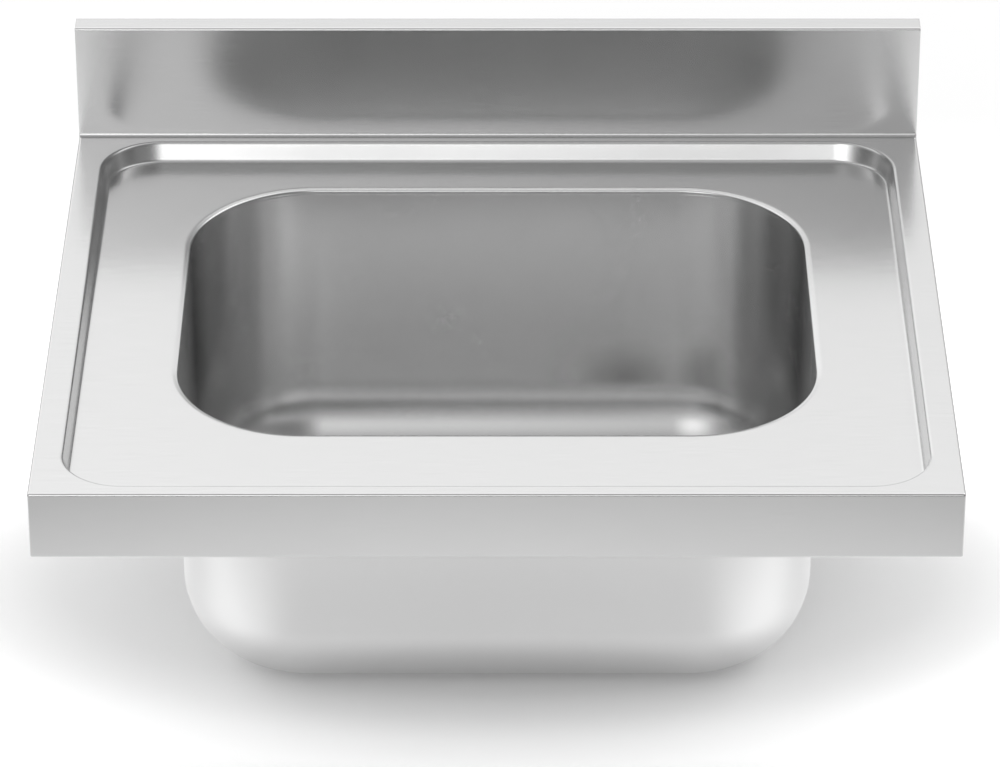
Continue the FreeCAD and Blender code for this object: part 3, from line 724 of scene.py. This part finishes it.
def moulded(name, dark, light, rough, grains, depth):
    """Moulded plastic or rubber: a fine cast grain, with slow changes of tone from its flow."""
    material, tree, shader, place = start_finish(name)
    flow = grain(tree, place, 60.0, detail=3.0)
    skin = grain(tree, place, grains)
    dress(tree, shader, tones(tree, flow, dark, light), skin, flow, swing=0.03, rough=rough, depth=depth)
    return material


def add_floor():
    """Pale floor with a round well, as a line turned about the waste's axis, with painted light on it.

    The eye and reflections see it glow towards white, which is painted light: by little under the bowl,
    where the shadow lies, by most just outside it, a painted ring of light, and by little far away.
    Reflections also see a painted glow, a painted reflection which is its share across times its share
    along. The floor's tone falls off round a painted pool of light, to painted shade beyond.
    """
    low = CAD_BOX[0].z - WELL_GAP
    well = WASTE_HIGH.x - DRAIN_X + WELL_GAP
    line = np.array([(0.0, low), (well, low), (well, FLOOR_Z), (FLOOR_REACH, FLOOR_Z)])
    rows = rows_round((0.0, 0.0), (DRAIN_X, DRAIN_Y), line)
    floor = add_surface("floor", joined([(loops(rows), True)]))
    material, tree, shader, place = start_finish("floor")
    # Painted pool of light: the floor's colour runs from pale near the pool's middle to painted shade,
    # grey, beyond
    painted_pool_reach = distance(tree, place, IN_PLAN, (0.0, PAINTED_POOL_Y, 0.0))
    inside = spread(tree, painted_pool_reach, NOISE_SPAN[1], NOISE_SPAN[0], PAINTED_POOL_EDGE)
    tree.links.new(tones(tree, inside, grey(PAINTED_FAR_SHADE), grey(FLOOR_TONE)), shader.inputs["Base Color"])
    shader.inputs["Roughness"].default_value = 1.0
    shader.inputs["Specular IOR Level"].default_value = 0.0
    rays = tree.nodes.new("ShaderNodeLightPath")
    mirrored = rays.outputs["Is Glossy Ray"]
    seen = combined(tree, "ADD", rays.outputs["Is Camera Ray"], mirrored)
    seen = combined(tree, "ADD", seen, rays.outputs["Is Transmission Ray"])
    # Painted light: an emission that lifts the floor towards white, little under the bowl, most in a ring
    # just outside it
    away = distance(tree, place, (1.0 / OVAL[0], 1.0 / OVAL[1], 0.0), (0.0, BOWL_Y, 0.0))
    painted_lift = combined(tree, "MULTIPLY", seen, levels(tree, away, PAINTED_LIGHT_STOPS))
    # Painted reflection: a glow on the floor beside the bowl that only reflections see
    across = levels(tree, distance(tree, place, X_ONLY), PAINTED_GLOW_ACROSS)
    along = levels(tree, distance(tree, place, Y_ONLY, (0.0, PAINTED_GLOW_Y, 0.0)), PAINTED_GLOW_ALONG)
    painted_reflection = combined(tree, "MULTIPLY", mirrored, combined(tree, "MULTIPLY", across, along))
    shader.inputs["Emission Color"].default_value = WHITE
    tree.links.new(combined(tree, "ADD", painted_lift, painted_reflection), shader.inputs["Emission Strength"])
    floor.data.materials.append(material)


def sky_direction(azimuth, elevation):
    """Unit direction, its azimuth measured from the rear towards the right."""
    turn = math.radians(azimuth)
    rise = math.radians(elevation)
    return (math.sin(turn) * math.cos(rise), math.cos(turn) * math.cos(rise), math.sin(rise))


def add_world():
    """Studio light: an even dome plus cards.

    A card is its strength times the exponential of its sharpness times the cosine off its middle less one.
    """
    world = bpy.data.worlds.new("studio")
    world.use_nodes = True
    tree = world.node_tree
    place = tree.nodes.new("ShaderNodeTexCoord").outputs["Generated"]
    light = None
    for azimuth, elevation, half_width, strength in CARDS.values():
        sharpness = 2.0 / half_width ** 2
        middle = tree.nodes.new("ShaderNodeVectorMath")
        middle.operation = "DOT_PRODUCT"
        middle.inputs[1].default_value = sky_direction(azimuth, elevation)
        tree.links.new(place, middle.inputs[0])
        falling = tree.nodes.new("ShaderNodeMath")
        falling.operation = "MULTIPLY_ADD"
        falling.inputs[1].default_value = sharpness
        falling.inputs[2].default_value = -sharpness
        tree.links.new(middle.outputs["Value"], falling.inputs[0])
        card = tree.nodes.new("ShaderNodeMath")
        card.operation = "EXPONENT"
        tree.links.new(falling.outputs["Value"], card.inputs[0])
        total = tree.nodes.new("ShaderNodeMath")
        total.operation = "MULTIPLY_ADD"
        total.inputs[1].default_value = strength
        total.inputs[2].default_value = DOME
        tree.links.new(card.outputs["Value"], total.inputs[0])
        if light is not None:
            tree.links.new(light, total.inputs[2])
        light = total.outputs["Value"]
    tree.links.new(light, tree.nodes["Background"].inputs["Strength"])
    tree.nodes["Background"].inputs["Color"].default_value = WHITE
    bpy.context.scene.world = world


def finishes():
    """One finish for each of the record's material slots."""
    waste = (DRAIN_X, DRAIN_Y, 0.0)
    stud = (STUD_LOW + STUD_HIGH) / 2.0
    return {
        "satin_steel": satin_steel(),
        "drawn_steel": drawn_steel(),
        "folded_steel": folded_steel(),
        "polished_steel": turned_metal("polished_steel", waste, grey(0.76), grey(0.84), (0.26, 0.33)),
        "deadening_pad": deadening_pad(),
        "bonding_brass": turned_metal("bonding_brass", stud, (0.58, 0.38, 0.14), (0.72, 0.5, 0.2),
                                      (0.24, 0.31)),
        "seal_rubber": moulded("seal_rubber", grey(0.02), (0.035, 0.035, 0.037), (0.62, 0.7),
                               grains=900.0, depth=0.03 * MM),
        "slip_plastic": moulded("slip_plastic", (0.68, 0.67, 0.61), (0.76, 0.76, 0.71), (0.45, 0.53),
                                grains=1200.0, depth=0.01 * MM),
        "nut_plastic": moulded("nut_plastic", grey(0.05), (0.075, 0.075, 0.08), (0.42, 0.5),
                               grains=1500.0, depth=0.02 * MM),
        "knob_plastic": moulded("knob_plastic", grey(0.015), grey(0.022), (0.14, 0.22),
                                grains=250.0, depth=0.004 * MM),
    }


add_camera()
add_floor()
add_world()
finish = finishes()
for row in frame["record"]["subparts"]:
    node = frame["nodes"][row["node"]]
    node.data.materials.clear()
    node.data.materials.append(finish[row["material_slot"]])
top = add_piece("folded_top", folded_top(), "worktop_sheet", finish["satin_steel"])
add_thickness(top, SHEET)
bowl = add_piece("drawn_bowl", drawn_bowl(), "sink_bowl", finish["drawn_steel"])
add_thickness(bowl, BOWL_SHEET)
add_piece("threaded_waste", threaded_waste(), "strainer_body", finish["polished_steel"])
add_piece("threaded_stud", threaded_stud(), "bonding_stud", finish["polished_steel"])
bpy.context.scene.view_settings.view_transform = "Standard"
